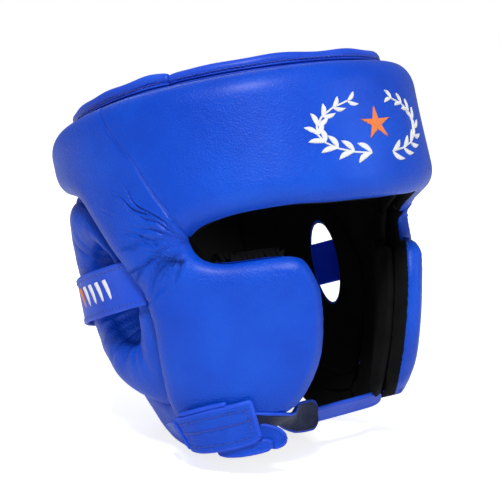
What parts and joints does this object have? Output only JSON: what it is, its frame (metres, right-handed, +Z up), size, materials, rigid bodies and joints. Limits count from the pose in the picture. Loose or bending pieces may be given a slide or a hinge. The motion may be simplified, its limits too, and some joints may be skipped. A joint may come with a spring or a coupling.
{
  "type": "boxing headgear",
  "caption": "Open-face sparring headgear in blue leather with cheek protectors, padded ear rings, an adjustable crown and hook-and-loop back and chin straps, tipped back on its jaws and nape.",
  "frame": {"origin": "centre of the bounding box on the floor the headgear stands on, tipped back on its jaw tabs and nape", "axes": "+Z up, the face opening looks along -Y, +X is the wearer's left; the head's own axis leans back 18.7 degrees towards +Y"},
  "size_m": [0.216, 0.2458, 0.2408],
  "materials": {
    "leather_blue": "satin",
    "suede_black": "matte",
    "foam_grey": "matte",
    "hook_loop_navy": "matte",
    "thread_white": "satin"
  },
  "bodies": {
    "shell": {"back_loop_patch": "hook_loop_navy", "back_strap_left": "leather_blue", "back_strap_right": "leather_blue", "cheek_left_cover": "leather_blue", "cheek_left_foam": "foam_grey", "cheek_left_lining": "suede_black", "cheek_right_cover": "leather_blue", "cheek_right_foam": "foam_grey", "cheek_right_lining": "suede_black", "crown_collar_front": "leather_blue", "crown_collar_rear": "leather_blue", "crown_flap_front": "leather_blue", "crown_loop_patch": "hook_loop_navy", "ear_pad_left": "leather_blue", "ear_pad_right": "leather_blue", "forehead_cover": "leather_blue", "forehead_emblem": "thread_white", "forehead_foam": "foam_grey", "forehead_lining": "suede_black", "jaw_pad_left": "leather_blue", "jaw_pad_right": "leather_blue", "jaw_tab_left": "leather_blue", "jaw_tab_right": "leather_blue", "nape_cover": "leather_blue", "nape_foam": "foam_grey", "nape_lining": "suede_black", "rear_band_cover": "leather_blue", "rear_band_foam": "foam_grey", "rear_band_lining": "suede_black", "seam_piping_left": "leather_blue", "seam_piping_right": "leather_blue", "strap_badge": "thread_white"},
    "back_tab": {"back_strap_tab": "leather_blue", "back_hook_patch": "hook_loop_navy"},
    "chin_right": {"chin_strap_right": "leather_blue", "chin_hook_patch": "hook_loop_navy"},
    "chin_left": {"chin_strap_left": "leather_blue", "chin_loop_patch": "hook_loop_navy"},
    "crown_rear": {"crown_flap_rear": "leather_blue", "crown_hook_patch": "hook_loop_navy"}
  },
  "joints": [
    {"name": "back_tab_hinge", "type": "hinge", "parent": "shell", "child": "back_tab", "pos_m": [-0.05841, 0.07746, 0.07345], "axis": [0, 0.3206, 0.9472], "range_deg": [0, 110]},
    {"name": "chin_right_hinge", "type": "hinge", "parent": "shell", "child": "chin_right", "pos_m": [-0.08845, -0.02697, 0.01167], "axis": [0, 0.3206, 0.9472], "range_deg": [-95, 0]},
    {"name": "chin_left_hinge", "type": "hinge", "parent": "shell", "child": "chin_left", "pos_m": [0.08845, -0.02697, 0.01167], "axis": [0, 0.3206, 0.9472], "range_deg": [0, 95]},
    {"name": "crown_rear_hinge", "type": "hinge", "parent": "shell", "child": "crown_rear", "pos_m": [0, 0.09994, 0.1778], "axis": [1, 0, 0], "range_deg": [-58, 0]}
  ]
}
